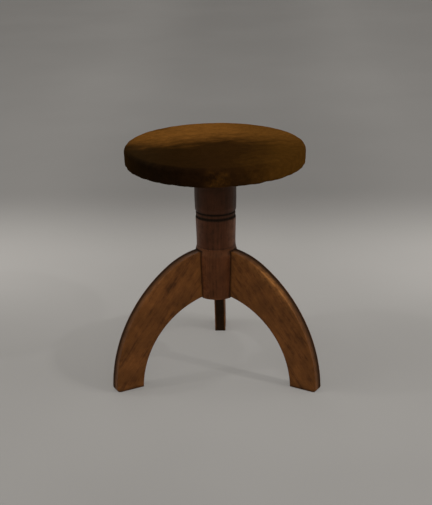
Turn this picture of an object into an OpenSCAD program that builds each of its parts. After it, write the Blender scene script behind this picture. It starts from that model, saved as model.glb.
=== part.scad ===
// Revolving piano stool: a round upholstered seat on a screw spindle, a turned pillar in a tapered hub,
// and three arched plank legs. The origin is on the floor under the spindle, +Z is up, the back leg
// points along +Y, and the seat is screwed right down.

/* [Seat] */
// Diameter of the upholstered seat at its girth
seat_d = 340; // [300:5:400]
// Height of the upholstery from its hem to the top of the crown
seat_h = 40; // [36:1:56]
// Radius of the rounded upper edge of the upholstery
seat_edge_r = 9; // [7:1:16]
// Rise of the crown above the rounded upper edge
crown_h = 6; // [3:1:12]
// Distance that the side draws in from the girth down to the hem
draw_in = 1; // [0.5:0.5:4]
// Thickness of the velvet cover
cover_t = 1.6; // [1:0.2:2.4]
// Width of the hem that the cover turns under the board
hem_w = 24; // [20:1:36]
// Thickness of the padding round the edge of the board
edge_pad_t = 5; // [3:0.5:9]
// Thickness of the seat board
board_t = 16; // [13:1:20]
// Thickness of the dust cloth under the seat
dust_cloth_t = 0.8; // [0.5:0.1:1.2]
// Distance from the edge of the board to the edge of the dust cloth
dust_cloth_inset = 14; // [13:0.5:18]
// Number of tacks that hold the hem
hem_tack_count = 32; // [16:1:44]
// Number of tacks that hold the dust cloth
cloth_tack_count = 24; // [12:1:36]

/* [Column] */
// Diameter of the wooden collar that hides the spindle
collar_d = 80.2; // [76:0.2:92]
// Height of the collar
collar_h = 96.5; // [80:0.5:130]
// Diameter of the pillar at its waist
pillar_d = 75; // [72:1:78]
// Height of the pillar above the hub
pillar_h = 69.6; // [65:0.2:90]
// Swelling of the pillar below its neck, on the radius
pillar_swell = 1.2; // [0.4:0.2:2]
// Height of the bead round the top of the pillar
bead_h = 8.2; // [5:0.2:10]
// Diameter of the round tenon that the pillar stands on
tenon_d = 54; // [50:1:58]
// Diameter of the hub at its top
hub_top_d = 82.6; // [80:0.2:96]
// Diameter of the hub at its foot
hub_foot_d = 77.6; // [74:0.2:84]
// Height of the coved top of the hub
hub_cove_h = 14; // [8:1:20]

/* [Legs] */
// Radius of the circle that the toes reach
leg_reach = 225; // [205:5:260]
// Thickness of the leg planks
leg_t = 22; // [18:1:26]
// Radius of the arch under a leg
arch_r = 169; // [155:1:173]
// Depth of the centre of the arch below the floor
arch_drop = 5; // [0:1:12]
// Radius of the long outer curve of a leg
outer_r = 275; // [270:5:310]
// Radius of the tighter curve where a leg runs into the hub
crest_r = 150; // [120:5:180]
// Angle above the floor at which the long curve passes into the tighter one
crest_angle = 57; // [54:1:66]
// Radius of the rounded toe
toe_r = 6; // [2:1:12]
// Radius of the eased edges of the planks
arris_r = 1.4; // [0.6:0.2:2.4]
// Depth of the housing that lets the end of a leg into the hub
housing_depth = 1.2; // [0.6:0.2:3]
// Diameter of the leg dowels
dowel_d = 10; // [8:1:12]
// Length of a dowel inside the leg
dowel_in_leg = 28; // [20:1:40]

/* [Screw] */
// Diameter of the steel spindle
spindle_d = 28; // [24:1:30]
// Lead of the screw: the rise of the seat for one turn
screw_pitch = 10; // [8:0.5:10.5]
// Turns of the seat from its lowest place to the stop
turns_to_stop = 9.5; // [7:0.5:10]
// Height of the iron nut
nut_h = 45; // [36:1:48]
// Diameter of the body of the nut
nut_d = 40; // [38:1:44]
// Diameter of the flange of the nut
nut_flange_d = 62; // [60:1:66]
// Diameter of the iron plate that joins the spindle to the seat board
plate_d = 64; // [60:1:68]
// Thickness of the iron plate and of the flange of the nut
plate_t = 4; // [3:0.5:5]
// Diameter of the stop washer at the foot of the spindle
washer_d = 35; // [33:0.5:36]
// Thickness of the stop washer
washer_t = 3; // [2:0.5:5]

/* [Hidden] */
$fn = 96;

// Fits and clearances
rest_gap = 0.3;
running_clear = 0.06;
snug_clear = 0.05;
hole_clear = 0.1;
washer_play = 0.3;
well_clear = 1;
well_floor = 8;
cut_over = 1;
crest_lap = 0.01;

// Legs, in the plane of one leg: distance from the axis, then height
back_angle = 90;
leg_step = 120;
leg_half = leg_t / 2;
outer_cx = leg_reach - outer_r;
crest_cx = outer_cx + (outer_r - crest_r) * cos(crest_angle);
crest_cz = (outer_r - crest_r) * sin(crest_angle);
toe_cx = outer_cx + sqrt(pow(outer_r - toe_r, 2) - pow(toe_r, 2));

function crest_z(x) = crest_cz + sqrt(pow(crest_r, 2) - pow(x - crest_cx, 2));
function arch_z(x) = sqrt(pow(arch_r, 2) - pow(x, 2)) - arch_drop;
function chord(r) = sqrt(pow(r, 2) - pow(leg_half, 2));

// Hub, pillar and seat levels above the floor
hub_lip = 2;
hub_rise = 6.6;
hub_top_r = hub_top_d / 2;
hub_foot_r = hub_foot_d / 2;
hub_foot_z = arch_z(hub_foot_r) - hub_lip;
hub_top_z = crest_z(hub_top_r) + hub_rise;
hub_cove_z = hub_top_z - hub_cove_h;
pillar_top_z = hub_top_z + pillar_h;
collar_z = pillar_top_z + rest_gap;
board_z = collar_z + collar_h;
hem_z = board_z - cover_t;

// Flats on the hub: distance from the axis at the hub's foot and below its cove
flat_foot_x = chord(hub_foot_r) - housing_depth;
flat_top_x = chord(hub_top_r) - housing_depth;
flat_tilt = atan2(flat_top_x - flat_foot_x, hub_cove_z - hub_foot_z);

// Dowels
dowel_heights_share = [0.27, 0.73];
dowel_r = dowel_d / 2;
dowel_wall = 3;
well_r = washer_d / 2 + well_clear / 2;
dowel_start_x = well_r + dowel_wall;
dowel_end_x = flat_top_x + dowel_in_leg;

// Pillar neck and collar mouldings
pillar_r = pillar_d / 2;
neck_r = pillar_r - 0.1 * pillar_swell;
groove_h = 2;
neck_round_h = 4;
bead_out = 0.7;
collar_r = collar_d / 2;
collar_taper = 0.6;
collar_taper_h = 26;
collar_round_w = 2.6;
collar_round_h = 5;

// Spindle, from its foot up
spindle_r = spindle_d / 2;
travel = screw_pitch * turns_to_stop;
nut_foot_z = pillar_top_z - nut_h;
spindle_foot_z = nut_foot_z - travel - rest_gap;
washer_z = spindle_foot_z - washer_play - washer_t;
bolt_r = 4;
bolt_head_w = 13;
bolt_head_h = 5.3;
bolt_grip = 22;
bolt_head_z = washer_z - washer_play;
well_z = bolt_head_z - bolt_head_h - well_floor;
plate_z = board_z - plate_t;
rivet_r = 9;

// Wood screws: three of each, on circles that clear the spindle and the nut
screw_r = 2.4;
screw_head_r = 4.6;
screw_tip = 6;
plate_screw_len = 16;
nut_screw_len = 28;
collar_screw_len = 62;
screw_count = 3;
collar_screw_turn = 60;
nut_screw_turn = 30;
plate_ring_r = (spindle_r + plate_d / 2) / 2;
nut_ring_r = (nut_d + nut_flange_d) / 4;

// Upholstery
seat_r = seat_d / 2;
hem_corner_r = 4;
girth_z = hem_z + seat_h - seat_edge_r - crown_h;
edge_cx = seat_r - seat_edge_r;
crown_r = (pow(edge_cx, 2) + pow(seat_edge_r + crown_h, 2) - pow(seat_edge_r, 2)) / (2 * crown_h);
crown_cz = hem_z + seat_h - crown_r;
side_r = (pow(girth_z - hem_z, 2) + pow(draw_in, 2)) / (2 * draw_in);
board_r = seat_r - draw_in - cover_t - edge_pad_t;
hem_r = board_r - hem_w;
dust_cloth_r = board_r - dust_cloth_inset;
dust_cloth_clear = 0.5;
hem_tack_ring_r = board_r - dust_cloth_inset / 2;
cloth_tack_ring_r = (dust_cloth_r + hem_r) / 2;
tack_len = 11;
tack_head_r = 3.4;
tack_head_h = 1.1;
tack_shank_r = 0.9;

// Points on an arc about [cx, cz], from angle a to angle b
function arc(cx, cz, r, a, b, steps) =
    [for (i = [0:steps]) let (t = a + (b - a) * i / steps) [cx + r * cos(t), cz + r * sin(t)]];

// Points on a quarter of an ellipse of half-widths w and h, from angle a to angle b
function oval(cx, cz, w, h, a, b, steps) =
    [for (i = [0:steps]) let (t = a + (b - a) * i / steps) [cx + w * cos(t), cz + h * sin(t)]];

// Half section of the upholstery, taken in by a distance all round
function seat_section(inset) =
    let (corner_z = hem_z + hem_corner_r,
         corner_x = seat_r - side_r + sqrt(pow(side_r, 2) - pow(girth_z - corner_z, 2)) - hem_corner_r,
         side_a = asin((girth_z - corner_z) / side_r),
         edge_b = atan2(girth_z - crown_cz, edge_cx))
    concat([[0, hem_z + inset]],
           arc(corner_x, corner_z, hem_corner_r - inset, -90, 0, 5),
           arc(seat_r - side_r, girth_z, side_r - inset, -side_a * 2 / 3, 0, 3),
           arc(edge_cx, girth_z, seat_edge_r - inset, 12, edge_b, 8),
           arc(0, crown_cz, crown_r - inset, 90 - (90 - edge_b) * 5 / 6, 90, 8));

module revolve(points) {
    rotate_extrude() polygon(points);
}

module ring(r, z, h, bore) {
    translate([0, 0, z]) difference() {
        cylinder(r = r, h = h);
        translate([0, 0, -cut_over]) cylinder(r = bore, h = h + 2 * cut_over);
    }
}

// Copies round the axis, the first at angle start
module around(count, radius, start = 0) {
    for (i = [0:count - 1])
        rotate([0, 0, start + i * 360 / count]) translate([radius, 0, 0]) children();
}

// Countersunk wood screw pointing down from z = 0, or its hole when clear is above zero
module wood_screw(length, clear = 0) {
    r = screw_r + clear;
    head = screw_head_r + clear;
    revolve([[0, clear], [head, clear], [head, 0], [r, r - head], [r, screw_tip - length],
             [0, -length - clear]]);
}

// Upholstery tack pointing up from z = 0, with its domed head below
module tack() {
    revolve(concat(oval(0, 0, tack_head_r, tack_head_h, -90, 0, 4),
                   [[tack_shank_r, 0], [tack_shank_r, tack_len * 2 / 3], [0, tack_len]]));
}

module seat_cover() {
    color("saddlebrown") difference() {
        revolve(seat_section(0));
        revolve(seat_section(cover_t));
        translate([0, 0, hem_z - cut_over]) cylinder(r = hem_r, h = cover_t + 2 * cut_over);
        at_tacks(hem_tack_count, hem_tack_ring_r) tack_hole();
        at_tacks(cloth_tack_count, cloth_tack_ring_r) tack_hole();
    }
}

module seat_padding() {
    color("wheat") difference() {
        revolve(seat_section(cover_t));
        translate([0, 0, board_z - cut_over]) cylinder(r = board_r, h = board_t + cut_over);
    }
}

module seat_board() {
    color("burlywood") difference() {
        translate([0, 0, board_z]) cylinder(r = board_r, h = board_t);
        plate_screw_places() wood_screw(plate_screw_len, hole_clear);
        collar_screw_places() wood_screw(collar_screw_len, hole_clear);
        at_tacks(hem_tack_count, hem_tack_ring_r) tack_hole();
        at_tacks(cloth_tack_count, cloth_tack_ring_r) tack_hole();
    }
}

module at_tacks(count, radius) {
    translate([0, 0, hem_z]) around(count, radius) children();
}

module tack_hole() {
    translate([0, 0, -cut_over])
        cylinder(r = tack_shank_r + snug_clear, h = tack_len + cut_over + hole_clear);
}

module hem_tacks() {
    color("dimgray") at_tacks(hem_tack_count, hem_tack_ring_r) tack();
}

module dust_cloth() {
    color("dimgray") difference() {
        ring(dust_cloth_r, hem_z - dust_cloth_t, dust_cloth_t, collar_r + dust_cloth_clear);
        at_tacks(cloth_tack_count, cloth_tack_ring_r) tack_hole();
    }
}

module dust_cloth_tacks() {
    color("black") translate([0, 0, -dust_cloth_t]) at_tacks(cloth_tack_count, cloth_tack_ring_r) tack();
}

module collar_section() {
    taper_z = collar_z + collar_taper_h;
    foot_r = collar_r - collar_taper;
    polygon(concat([[0, collar_z]],
                   oval(foot_r - collar_round_w, collar_z + collar_round_h, collar_round_w,
                        collar_round_h, -90, 0, 6),
                   [[collar_r, taper_z], [collar_r, board_z], [0, board_z]]));
}

module collar() {
    color("saddlebrown") difference() {
        rotate_extrude() collar_section();
        translate([0, 0, collar_z - cut_over])
            cylinder(r = spindle_r + snug_clear, h = collar_h + 2 * cut_over);
        translate([0, 0, plate_z - hole_clear])
            cylinder(r = plate_d / 2 + hole_clear, h = plate_t + hole_clear + cut_over);
        collar_screw_places() wood_screw(collar_screw_len, hole_clear);
    }
}

// Down through the board and the plate into the collar
module collar_screw_places() {
    translate([0, 0, board_z + board_t]) around(screw_count, plate_ring_r, collar_screw_turn) children();
}

module collar_screws() {
    color("silver") collar_screw_places() wood_screw(collar_screw_len);
}

module spindle_plate() {
    color("gray") difference() {
        ring(plate_d / 2, plate_z, plate_t, rivet_r + snug_clear);
        plate_screw_places() wood_screw(plate_screw_len, hole_clear);
        collar_screw_places() wood_screw(collar_screw_len, hole_clear);
    }
}

// Up through the plate into the board
module plate_screw_places() {
    translate([0, 0, plate_z]) around(screw_count, plate_ring_r) mirror([0, 0, 1]) children();
}

module plate_screws() {
    color("silver") plate_screw_places() wood_screw(plate_screw_len);
}

module spindle() {
    color("darkgray") difference() {
        union() {
            translate([0, 0, spindle_foot_z]) cylinder(r = spindle_r, h = plate_z - spindle_foot_z);
            translate([0, 0, spindle_foot_z]) cylinder(r = rivet_r, h = board_z - spindle_foot_z);
        }
        translate([0, 0, spindle_foot_z - cut_over])
            cylinder(r = bolt_r + snug_clear, h = bolt_grip + cut_over + hole_clear);
    }
}

module end_bolt() {
    color("silver") {
        translate([0, 0, bolt_head_z - bolt_head_h])
            cylinder(d = bolt_head_w / cos(30), h = bolt_head_h, $fn = 6);
        translate([0, 0, bolt_head_z - bolt_head_h / 2])
            cylinder(r = bolt_r, h = spindle_foot_z + bolt_grip - bolt_head_z + bolt_head_h / 2);
    }
}

module stop_washer() {
    color("gray") ring(washer_d / 2, washer_z, washer_t, bolt_r + running_clear);
}

module spindle_nut() {
    color("dimgray") difference() {
        union() {
            translate([0, 0, nut_foot_z]) cylinder(d = nut_d, h = nut_h);
            translate([0, 0, pillar_top_z - plate_t]) cylinder(d = nut_flange_d, h = plate_t);
        }
        translate([0, 0, nut_foot_z - cut_over])
            cylinder(r = spindle_r + running_clear, h = nut_h + 2 * cut_over);
        nut_screw_places() wood_screw(nut_screw_len, hole_clear);
    }
}

module nut_screw_places() {
    translate([0, 0, pillar_top_z]) around(screw_count, nut_ring_r, nut_screw_turn) children();
}

module nut_screws() {
    color("silver") nut_screw_places() wood_screw(nut_screw_len);
}

// Heights up to the neck, and the swelling there, as shares
pillar_height_shares = [0, 0.06, 0.16, 0.4, 0.62, 0.8, 1];
pillar_swell_shares = [0.25, 0.06, 0, 0.17, 0.5, 0.8, 1];

module pillar_section() {
    neck_z = pillar_top_z - bead_h - groove_h;
    swell_h = pillar_h - bead_h - groove_h - neck_round_h;
    swell_r = pillar_r + pillar_swell;
    polygon(concat([[0, hub_foot_z], [tenon_d / 2, hub_foot_z], [tenon_d / 2, hub_top_z]],
                   [for (i = [0:len(pillar_height_shares) - 1])
                       [pillar_r + pillar_swell * pillar_swell_shares[i],
                        hub_top_z + swell_h * pillar_height_shares[i]]],
                   oval(neck_r, neck_z - neck_round_h, swell_r - neck_r, neck_round_h, 15, 90, 5),
                   oval(neck_r, pillar_top_z - bead_h / 2, bead_out, bead_h / 2, -90, 90, 10),
                   [[0, pillar_top_z]]));
}

module pillar() {
    color("sienna") difference() {
        rotate_extrude() pillar_section();
        translate([0, 0, well_z]) cylinder(r = well_r, h = pillar_top_z - well_z + cut_over);
        translate([0, 0, nut_foot_z])
            cylinder(d = nut_d + 2 * snug_clear, h = nut_h + cut_over);
        translate([0, 0, pillar_top_z - plate_t])
            cylinder(d = nut_flange_d + 2 * snug_clear, h = plate_t + cut_over);
        nut_screw_places() wood_screw(nut_screw_len, hole_clear);
        leg_dowel_places() dowel(snug_clear);
    }
}

module hub_section() {
    cove_steps = 6;
    cove_power = 1.3;
    cove_w = hub_top_r - pillar_r - 0.25 * pillar_swell;
    polygon(concat([[tenon_d / 2 + snug_clear, hub_foot_z], [hub_foot_r - arris_r, hub_foot_z],
                    [hub_foot_r, hub_foot_z + arris_r]],
                   [for (i = [cove_steps:-1:0]) let (t = i / cove_steps)
                       [hub_top_r - cove_w * (1 - pow(t, cove_power)), hub_top_z - hub_cove_h * t]],
                   [[tenon_d / 2 + snug_clear, hub_top_z]]));
}

module hub() {
    color("sienna") difference() {
        rotate_extrude() hub_section();
        for (i = [0:2]) rotate([0, 0, back_angle + i * leg_step]) intersection() {
            outside_flat(leg_t);
            translate([0, -leg_half, hub_foot_z - cut_over])
                cube([leg_reach, leg_t, crest_z(flat_top_x) - hub_foot_z + cut_over]);
        }
        leg_dowel_places() dowel(snug_clear);
    }
}

// All that lies outside the sloping flat on which a leg ends, for a leg along +X
module outside_flat(width) {
    translate([flat_foot_x, -width / 2, hub_foot_z]) rotate([0, flat_tilt, 0])
        translate([0, 0, -2 * leg_reach]) cube([2 * leg_reach, width, 4 * leg_reach]);
}

// Edge of a plank that is eased on both faces: half section of a disc of radius r
function eased_disc(r) = concat(
    [[0, -leg_half]],
    arc(r - arris_r, -leg_half + arris_r, arris_r, -90, 0, 3),
    arc(r - arris_r, leg_half - arris_r, arris_r, 0, 90, 3),
    [[0, leg_half]]);

// Half section of the cutter whose rim leaves an eased hollow edge of radius r
function eased_hollow(r) = concat(
    [[0, -leg_half - cut_over], [r + arris_r, -leg_half - cut_over]],
    arc(r + arris_r, -leg_half + arris_r, arris_r, -90, -180, 3),
    arc(r + arris_r, leg_half - arris_r, arris_r, 180, 90, 3),
    [[r + arris_r, leg_half + cut_over], [0, leg_half + cut_over]]);

// A disc whose flat faces are the plank's, about a centre in the plane of the leg
module in_plank(cx, cz, section) {
    translate([cx, 0, cz]) rotate([90, 0, 0]) revolve(section);
}

// What lies above the line from the outer curve's centre at the crest angle, and a hair below it by lap
module above_crest_line(lap = 0) {
    translate([outer_cx, -leg_t, 0]) rotate([0, -crest_angle, 0])
        translate([-2 * leg_reach, 0, -lap]) cube([4 * leg_reach, 2 * leg_t, 2 * leg_reach]);
}

// The part of a plank whose outer edge is an arc of radius r about [cx, cz]
module plank_part(cx, cz, r) {
    intersection() {
        outside_flat(2 * leg_t);
        difference() {
            in_plank(cx, cz, eased_disc(r));
            in_plank(0, -arch_drop, eased_hollow(arch_r));
            translate([-4 * leg_reach, -leg_t, -4 * leg_reach])
                cube([8 * leg_reach, 2 * leg_t, 4 * leg_reach]);
            toe_corner();
        }
    }
}

// One plank leg along +X: the two arcs of its outer edge meet on the crest line
module plank() {
    intersection() {
        plank_part(crest_cx, crest_cz, crest_r);
        above_crest_line(crest_lap);
    }
    difference() {
        plank_part(outer_cx, 0, outer_r);
        above_crest_line();
    }
}

module toe_corner() {
    difference() {
        translate([toe_cx, -leg_t, -cut_over]) cube([2 * toe_r, 2 * leg_t, toe_r + cut_over]);
        translate([toe_cx, 0, toe_r]) rotate([90, 0, 0]) cylinder(r = toe_r, h = 4 * leg_t, center = true);
    }
}

module leg(angle) {
    color("peru") rotate([0, 0, angle]) difference() {
        plank();
        dowels_along_x() dowel(snug_clear);
    }
}

module leg_back() {
    leg(back_angle);
}

module leg_left() {
    leg(back_angle + leg_step);
}

module leg_right() {
    leg(back_angle + 2 * leg_step);
}

// Dowel along +X, or its bore when clear is above zero
module dowel(clear = 0) {
    translate([dowel_start_x - 2 * clear, 0, 0]) rotate([0, 90, 0])
        cylinder(r = dowel_r + clear, h = dowel_end_x - dowel_start_x + 4 * clear);
}

module dowels_along_x() {
    joint_foot_z = arch_z(flat_foot_x);
    joint_h = crest_z(flat_top_x) - joint_foot_z;
    for (share = dowel_heights_share) translate([0, 0, joint_foot_z + joint_h * share]) children();
}

module leg_dowel_places() {
    for (i = [0:2]) rotate([0, 0, back_angle + i * leg_step]) dowels_along_x() children();
}

module leg_dowels() {
    color("burlywood") leg_dowel_places() dowel();
}

seat_cover();
seat_padding();
seat_board();
hem_tacks();
dust_cloth();
dust_cloth_tacks();
collar();
collar_screws();
spindle_plate();
plate_screws();
spindle();
end_bolt();
stop_washer();
spindle_nut();
nut_screws();
pillar();
hub();
leg_back();
leg_left();
leg_right();
leg_dowels();
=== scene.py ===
"""Revolving piano stool: velvet seat, stained beech column and legs, and steel screw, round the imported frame."""

import math

import bmesh
import bpy
import numpy as np
from bpy.props import FloatProperty, FloatVectorProperty, IntProperty, PointerProperty
from mathutils import Matrix, Vector, noise


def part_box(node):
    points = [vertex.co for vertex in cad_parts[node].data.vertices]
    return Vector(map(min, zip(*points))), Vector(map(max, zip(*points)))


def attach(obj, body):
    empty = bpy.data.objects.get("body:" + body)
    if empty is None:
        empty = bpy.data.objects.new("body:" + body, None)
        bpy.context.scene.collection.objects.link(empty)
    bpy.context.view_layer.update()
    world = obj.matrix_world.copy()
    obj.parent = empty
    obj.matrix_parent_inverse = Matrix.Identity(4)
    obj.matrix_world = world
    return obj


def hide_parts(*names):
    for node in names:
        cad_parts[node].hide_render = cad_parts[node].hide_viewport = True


bl_info = {
    "name": "Revolving Piano Stool",
    "version": (1, 0, 0),
    "blender": (4, 5, 0),
    "location": "View3D > Sidebar > Piano Stool",
    "description": "Finish of a revolving piano stool: velvet seat, turned column, arched legs and screw",
    "category": "Object",
}

MM = 0.001

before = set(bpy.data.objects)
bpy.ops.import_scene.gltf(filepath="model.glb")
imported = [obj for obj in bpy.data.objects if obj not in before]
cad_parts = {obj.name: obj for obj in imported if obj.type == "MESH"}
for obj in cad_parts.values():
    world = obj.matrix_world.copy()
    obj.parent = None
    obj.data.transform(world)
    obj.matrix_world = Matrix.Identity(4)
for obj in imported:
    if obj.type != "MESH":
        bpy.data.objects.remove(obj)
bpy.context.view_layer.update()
COVER_LOW, COVER_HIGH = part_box("seat_cover")
BOARD_LOW, BOARD_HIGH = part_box("seat_board")
CLOTH_LOW, CLOTH_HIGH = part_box("dust_cloth")
COLLAR_LOW, COLLAR_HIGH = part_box("collar")
PILLAR_LOW, PILLAR_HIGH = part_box("pillar")
HUB_LOW, HUB_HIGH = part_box("hub")
BACK_LEG_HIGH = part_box("leg_back")[1]
SPINDLE_LOW, SPINDLE_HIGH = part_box("spindle")
NUT_LOW, NUT_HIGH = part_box("spindle_nut")
PLATE_LOW, PLATE_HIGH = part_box("spindle_plate")

LEG_ANGLES = {"back": 90.0, "left": 210.0, "right": 330.0}
LEG_HALF = BACK_LEG_HIGH.x
# How much wear and painted highlight the outer edge of each leg takes, and on which of its faces; on the right leg it
# is mostly a painted highlight where the arris catches the light
EDGE_WEAR_AND_HIGHLIGHT = {"back": 0.3, "left": 0.2, "right": 0.88}
HIGHLIGHT_FACE = {"back": 1, "left": 1, "right": -1}
OTHER_FACE_SHARE = 0.2
# Wear and the painted highlight on a leg's edge peak about this height, near its crest
WEAR_AND_HIGHLIGHT_HEIGHT, WEAR_AND_HIGHLIGHT_SPREAD = 0.205, 0.035
HUB_FOOT_R, HUB_TOP_R, HUB_COVE = 38.8 * MM, 41.3 * MM, 14 * MM
TENON_R = 27 * MM
TURNED_EDGE = 0.3 * MM
TURNED_STEP = 3 * MM
AROUND_SEAT = 240
HEM_ROWS = 9


def hex_colour(code):
    """An sRGB hex colour as linear red, green, blue and alpha."""
    parts = [int(code[i:i + 2], 16) / 255 for i in (1, 3, 5)]
    linear = [c / 12.92 if c <= 0.04045 else ((c + 0.055) / 1.055) ** 2.4 for c in parts]
    return (*linear, 1.0)


def mixed_colour(first, second, share):
    return tuple(a + (b - a) * share for a, b in zip(first, second))


def colour(name, description, code):
    """A colour property whose default is an sRGB hex colour."""
    return FloatVectorProperty(name=name, description=description, subtype="COLOR", size=4,
                               min=0.0, max=1.0, default=hex_colour(code))


def length(name, description, value):
    """A length property in metres."""
    return FloatProperty(name=name, description=description, subtype="DISTANCE", unit="LENGTH",
                         default=value, min=0.0, precision=4)


def factor(name, description, value):
    """A property from 0 to 1."""
    return FloatProperty(name=name, description=description, subtype="FACTOR", default=value, min=0.0, max=1.0)


def watts(name, description, value):
    """A power property."""
    return FloatProperty(name=name, description=description, unit="POWER", default=value, min=0.0)


class SeatSettings(bpy.types.PropertyGroup):
    """Sizes and colours of the upholstery."""
    edge_radius: length("Edge radius", "Radius of the rounded upper edge", 9 * MM)
    crown: length("Crown", "Rise of the crown above the rounded edge", 6 * MM)
    draw_in: length("Draw in", "How far the side draws in towards the hem", 1 * MM)
    hem_width: length("Hem width", "Width of the hem under the board", 24 * MM)
    fold_depth: length("Fold depth", "Depth of the gathers where the velvet turns under", 1.1 * MM)
    puff: length("Puff", "Most that the stuffing may push the velvet out", 3.0 * MM)
    # The nap colours hold painted light as well as the lie of the pile: painted sheen at the back of the top, painted
    # shade on the left and painted light on the right side
    nap_painted_sheen: colour("Nap, brushed up", "Velvet where the pile leans towards the light", "#6c451b")
    nap_painted_shade: colour("Nap, brushed down", "Velvet where the pile leans away from the light", "#0d0804")
    nap_painted_half_shade: colour("Nap, middle", "Velvet at the front, brushed both ways", "#221307")
    nap_painted_lit_side: colour("Nap, side", "Velvet on the lit right side", "#432a0c")
    hem_tacks: IntProperty(name="Hem tacks", description="Tacks that hold the hem", default=32, min=8)
    cloth_tacks: IntProperty(name="Cloth tacks", description="Tacks of the dust cloth", default=24, min=8)


class WoodSettings(bpy.types.PropertyGroup):
    """Colours and grain of the stained wood."""
    leg_light: colour("Leg, early wood", "Stain on the softer wood of the legs", "#734620")
    leg_dark: colour("Leg, late wood", "Stain on the harder wood of the legs", "#432510")
    # Also the colour of the painted highlight along the legs' edges
    leg_worn_and_lit: colour("Leg, worn edge", "Edges of the legs where the stain has rubbed off", "#a9703a")
    hub_light: colour("Hub, early wood", "Stain on the softer wood of the hub", "#5a321b")
    hub_dark: colour("Hub, late wood", "Stain on the harder wood of the hub", "#331a0d")
    column_light: colour("Column, early wood", "Stain on the softer wood of the column", "#4a2818")
    column_dark: colour("Column, late wood", "Stain on the harder wood of the column", "#26130b")
    ring_width: length("Ring width", "Distance between growth rings", 5 * MM)
    waist_radius: length("Waist radius", "Radius of the pillar at its waist", 37.5 * MM)
    bead_height: length("Bead height", "Height of the bead round the top of the pillar", 8.2 * MM)


class LegSettings(bpy.types.PropertyGroup):
    """Curves of the legs, in the plane of a leg."""
    arch_radius: length("Arch radius", "Radius of the curve under a leg", 169 * MM)
    arch_drop: length("Arch drop", "Depth of the arch's centre below the floor", 5 * MM)
    outer_radius: length("Outer radius", "Radius of the long outer curve", 275 * MM)
    crest_radius: length("Crest radius", "Radius of the curve where a leg runs into the hub", 150 * MM)
    crest_angle: FloatProperty(name="Crest angle", description="Where the long curve passes into the tighter one",
                               subtype="ANGLE", default=math.radians(57))
    toe_radius: length("Toe radius", "Radius of the rounded toe", 6 * MM)
    arris: length("Arris", "Radius of the eased edges", 1.4 * MM)
    housing_depth: length("Housing depth", "How deep a leg is let into the hub", 1.2 * MM)
    edge_stain: factor("Edge stain", "How much darker the sawn edges took the stain", 0.97)


class ScrewSettings(bpy.types.PropertyGroup):
    """Thread of the spindle and the small fasteners."""
    lead: length("Lead", "Rise of the seat for one turn", 10 * MM)
    thread_depth: length("Thread depth", "Height of the thread above its root", 2 * MM)
    steel: colour("Steel", "Turned steel of the spindle", "#8b8782")
    iron: colour("Iron", "Blackened iron of nut and plate", "#2b2a2b")


class StageSettings(bpy.types.PropertyGroup):
    """Floor, lamps and camera."""
    floor: colour("Floor", "Paper sweep under and behind the stool", "#9f9c98")
    glow: factor("Glow", "Share of the paper's brightness that no shadow reaches", 0.35)
    camera_distance: length("Camera distance", "From the stool's axis, along the floor", 2.1216)
    camera_height: length("Camera height", "Above the floor", 1.0275)
    right_power: watts("Right lamp", "Power of the small lamp on the right", 4.8)
    high_power: watts("High lamp", "Power of the lamp overhead", 7.0)
    left_power: watts("Left lamp", "Power of the lamp on the left", 6.2)
    front_power: watts("Front lamp", "Power of the broad lamp in front", 11.5)
    side_power: watts("Side lamps", "Power of each broad lamp at the sides", 8.5)
    back_power: watts("Back lamp", "Power of the broad lamp behind the stool", 7.0)
    sky: FloatProperty(name="Sky", description="Strength of the even light from all round", default=0.575, min=0.0)


SETTINGS = {"seat": SeatSettings, "wood": WoodSettings, "leg": LegSettings, "screw": ScrewSettings,
            "stage": StageSettings}


def settings(name):
    return getattr(bpy.context.scene, "stool_" + name)


# Materials

SMOOTH = {"interpolation_type": "SMOOTHSTEP"}
BLEND = {"data_type": "RGBA"}
TINT = {"data_type": "RGBA", "blend_type": "MULTIPLY"}


def add(tree, kind, inputs=(), out=0, stops=(), curve="EASE", **values):
    """Adds a node with its settings and links, and gives one of its outputs. A kind without a prefix is a shader
    node. inputs gives sockets, in order or by name, a value or another node's output. stops are the places and
    colours of a ramp."""
    node = tree.nodes.new(kind if kind.startswith(("Geometry", "Function", "Node")) else "ShaderNode" + kind)
    for name, value in values.items():
        setattr(node, name, value)
    for key, value in inputs.items() if isinstance(inputs, dict) else enumerate(inputs):
        if isinstance(value, bpy.types.NodeSocket):
            tree.links.new(value, node.inputs[key])
        else:
            node.inputs[key].default_value = value
    if stops:
        node.color_ramp.interpolation = curve
        elements = node.color_ramp.elements
        while len(elements) < len(stops):
            elements.new(0.5)
        for element, (place, shade) in zip(elements, stops):
            element.position, element.color = place, shade
    return node.outputs[out] if len(node.outputs) else None


def new_material(name):
    """A material with an empty tree, and the place of each of its points in the object's own coordinates."""
    made = bpy.data.materials.new(name)
    made.use_nodes = True
    made.node_tree.nodes.clear()
    return made, made.node_tree, add(made.node_tree, "TexCoord", out="Object")


def weighted(tree, *parts):
    """The sum of some values, each times its share."""
    total = None
    for value, part in parts:
        value = add(tree, "Math", (value, part), operation="MULTIPLY")
        total = value if total is None else add(tree, "Math", (total, value), operation="ADD")
    return total


def laid_along(tree, vector, along, face, stretch):
    """Coordinates whose first axis runs along the grain, drawn out by a stretch, and whose third leaves the face."""
    along = Vector(along).normalized()
    face = (Vector(face) - along * along.dot(Vector(face))).normalized()
    turn = Matrix((along, face.cross(along), face)).to_euler("XYZ")
    turned_way = add(tree, "Mapping", {"Vector": vector, "Rotation": turn})
    return add(tree, "Mapping", {"Vector": turned_way, "Scale": (1 / stretch, 1, 1)})


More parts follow.
